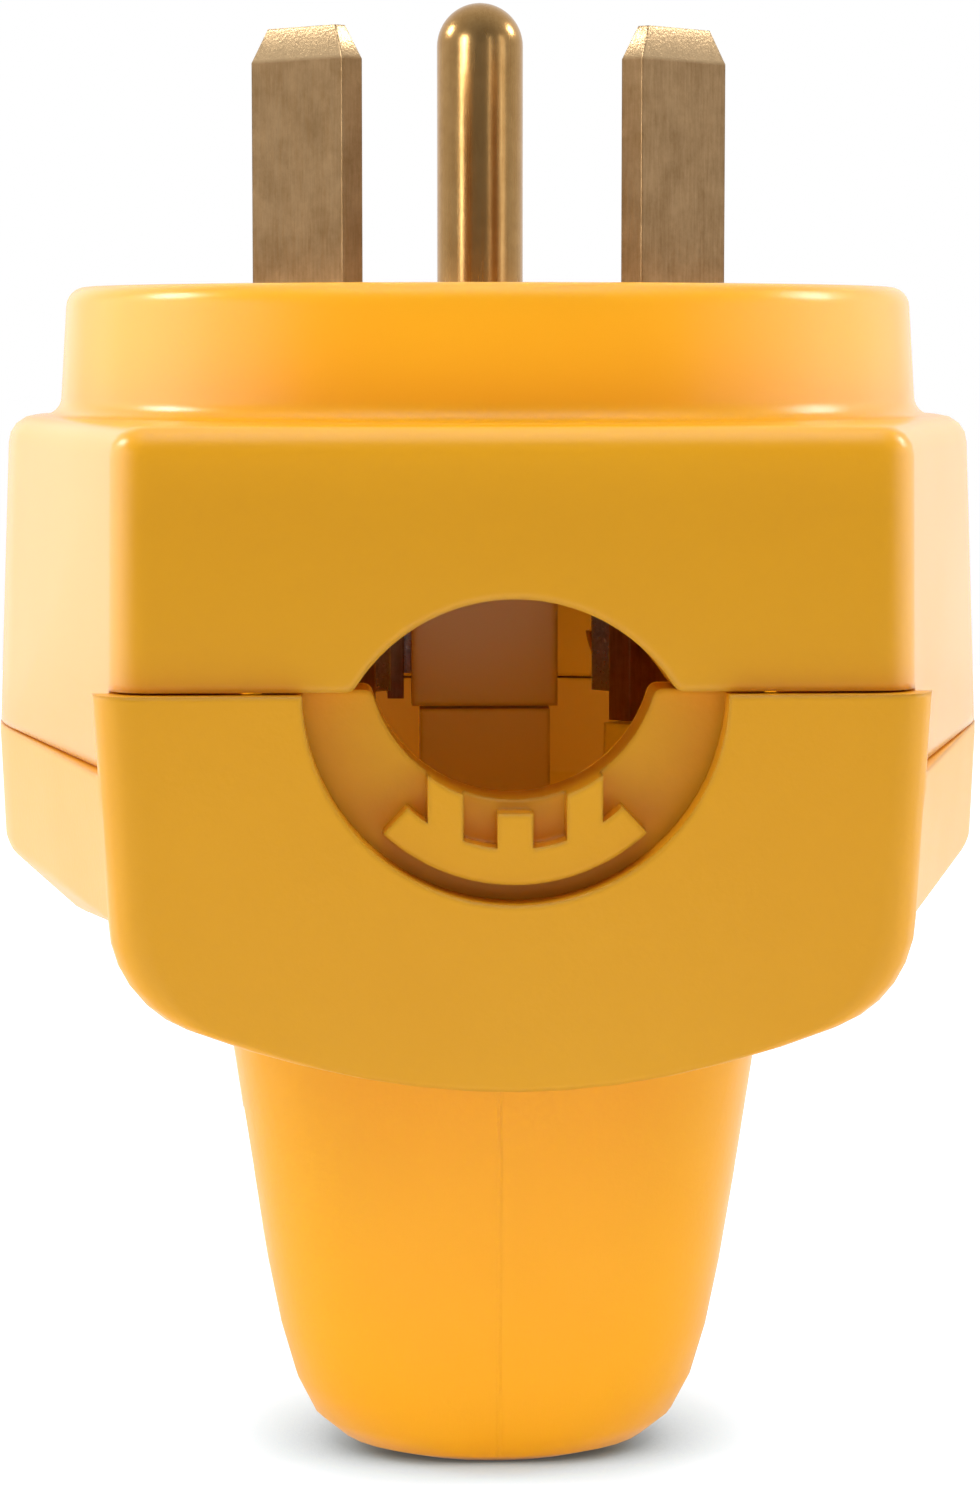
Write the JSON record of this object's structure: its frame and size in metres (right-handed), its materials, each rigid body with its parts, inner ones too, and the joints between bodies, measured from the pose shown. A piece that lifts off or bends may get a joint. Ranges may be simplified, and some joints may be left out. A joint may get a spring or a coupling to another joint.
{
  "type": "rv power plug",
  "caption": "Right-angle travel-trailer power plug with canted flat blades, a round ground pin, a toothed cord clamp and a finger-loop handle; its halves open for wiring.",
  "frame": {"origin": "centre of the round prong face", "axes": "+Z out of the face along the prongs, -Y towards the cord opening, +X to the right seen from the cord side"},
  "size_m": [0.0692, 0.0761, 0.1013],
  "materials": {
    "yellow_plastic": "satin moulded yellow plastic",
    "blade_brass": "stamped and lightly grained",
    "pin_brass": "turned and polished",
    "plated_steel": "zinc plated",
    "green_steel": "green ground screw"
  },
  "bodies": {
    "root": {"front_housing": "yellow_plastic", "handle_housing": "yellow_plastic", "cord_clamp": "yellow_plastic", "line_blade": "blade_brass", "neutral_blade": "blade_brass", "ground_pin": "pin_brass", "ground_terminal": "blade_brass", "line_terminal_screw": "pin_brass", "neutral_terminal_screw": "plated_steel", "ground_terminal_screw": "green_steel", "line_pressure_plate": "plated_steel", "neutral_pressure_plate": "plated_steel", "ground_pressure_plate": "plated_steel", "housing_screws": "plated_steel"}
  },
  "joints": []
}
